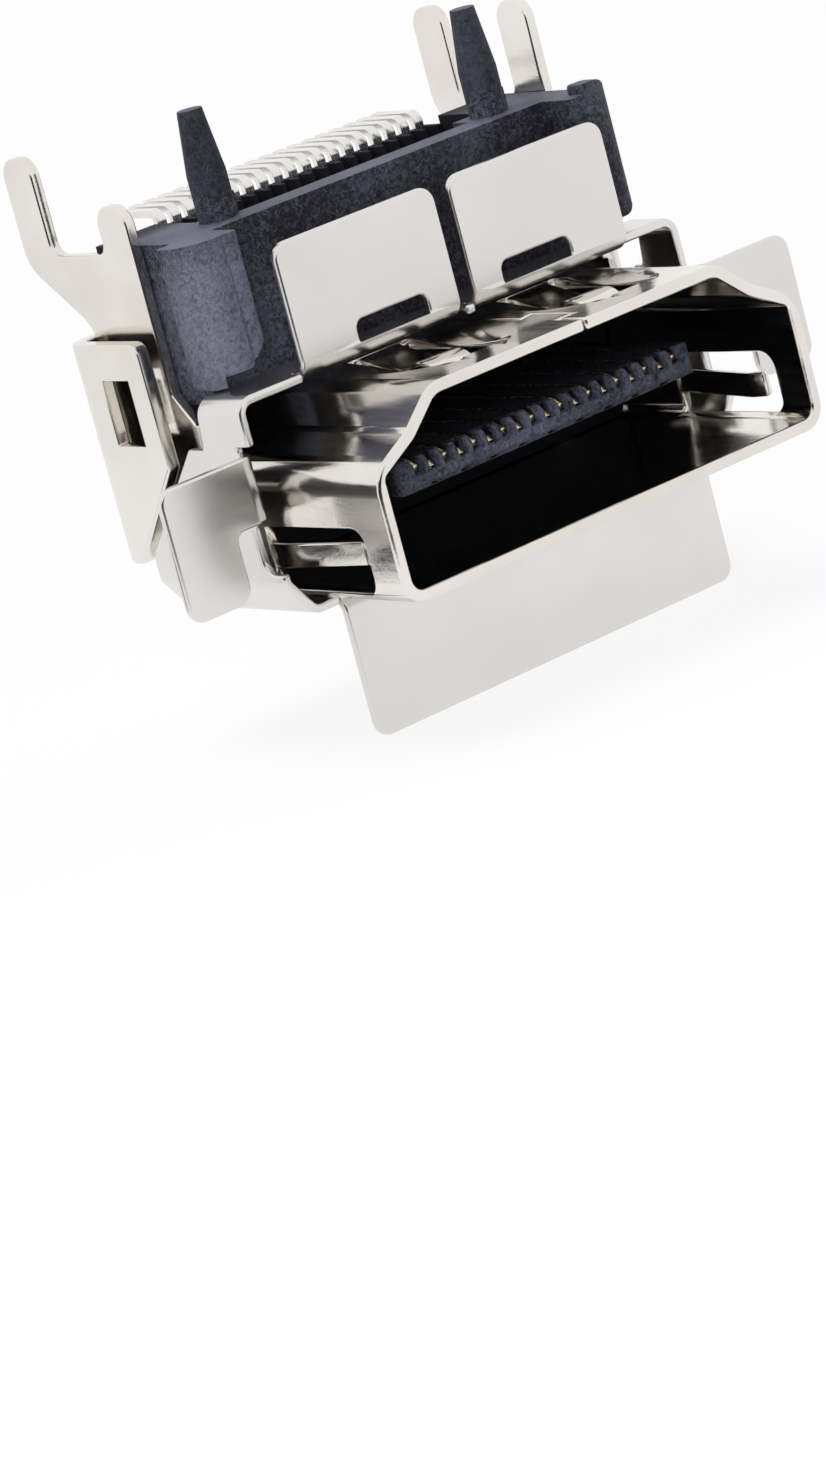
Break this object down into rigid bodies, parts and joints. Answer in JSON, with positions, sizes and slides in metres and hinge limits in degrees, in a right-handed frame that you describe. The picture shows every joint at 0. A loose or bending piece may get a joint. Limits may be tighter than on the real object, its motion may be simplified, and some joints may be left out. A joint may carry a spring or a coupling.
{
  "type": "digital video socket",
  "caption": "Board-mounted digital video socket: folded metal nose around a contact tongue, with spring flaps, a latched rear shield, locating pegs and solder legs.",
  "frame": {"origin": "on the board plane, midway between the two locating pegs", "axes": "+Z from the socket towards the board it is soldered to, which is up in the picture, where the part is shown turned over; -Y out of the mouth; +X to the right when looking into the mouth"},
  "size_m": [0.022, 0.0131, 0.0167],
  "materials": {
    "shell_metal": "bright nickel plate",
    "flange_metal": "satin nickel plate",
    "shield_metal": "satin nickel plate",
    "insulator_plastic": "matte moulded",
    "riser_plastic": "matte moulded",
    "contact_metal": "plated"
  },
  "bodies": {
    "root": {"inner_shell": "shell_metal", "front_flange": "flange_metal", "rear_shield": "shield_metal", "insulator": "insulator_plastic", "riser": "riser_plastic", "contact_01": "contact_metal", "contact_02": "contact_metal", "contact_03": "contact_metal", "contact_04": "contact_metal", "contact_05": "contact_metal", "contact_06": "contact_metal", "contact_07": "contact_metal", "contact_08": "contact_metal", "contact_09": "contact_metal", "contact_10": "contact_metal", "contact_11": "contact_metal", "contact_12": "contact_metal", "contact_13": "contact_metal", "contact_14": "contact_metal", "contact_15": "contact_metal", "contact_16": "contact_metal", "contact_17": "contact_metal", "contact_18": "contact_metal", "contact_19": "contact_metal"}
  },
  "joints": []
}
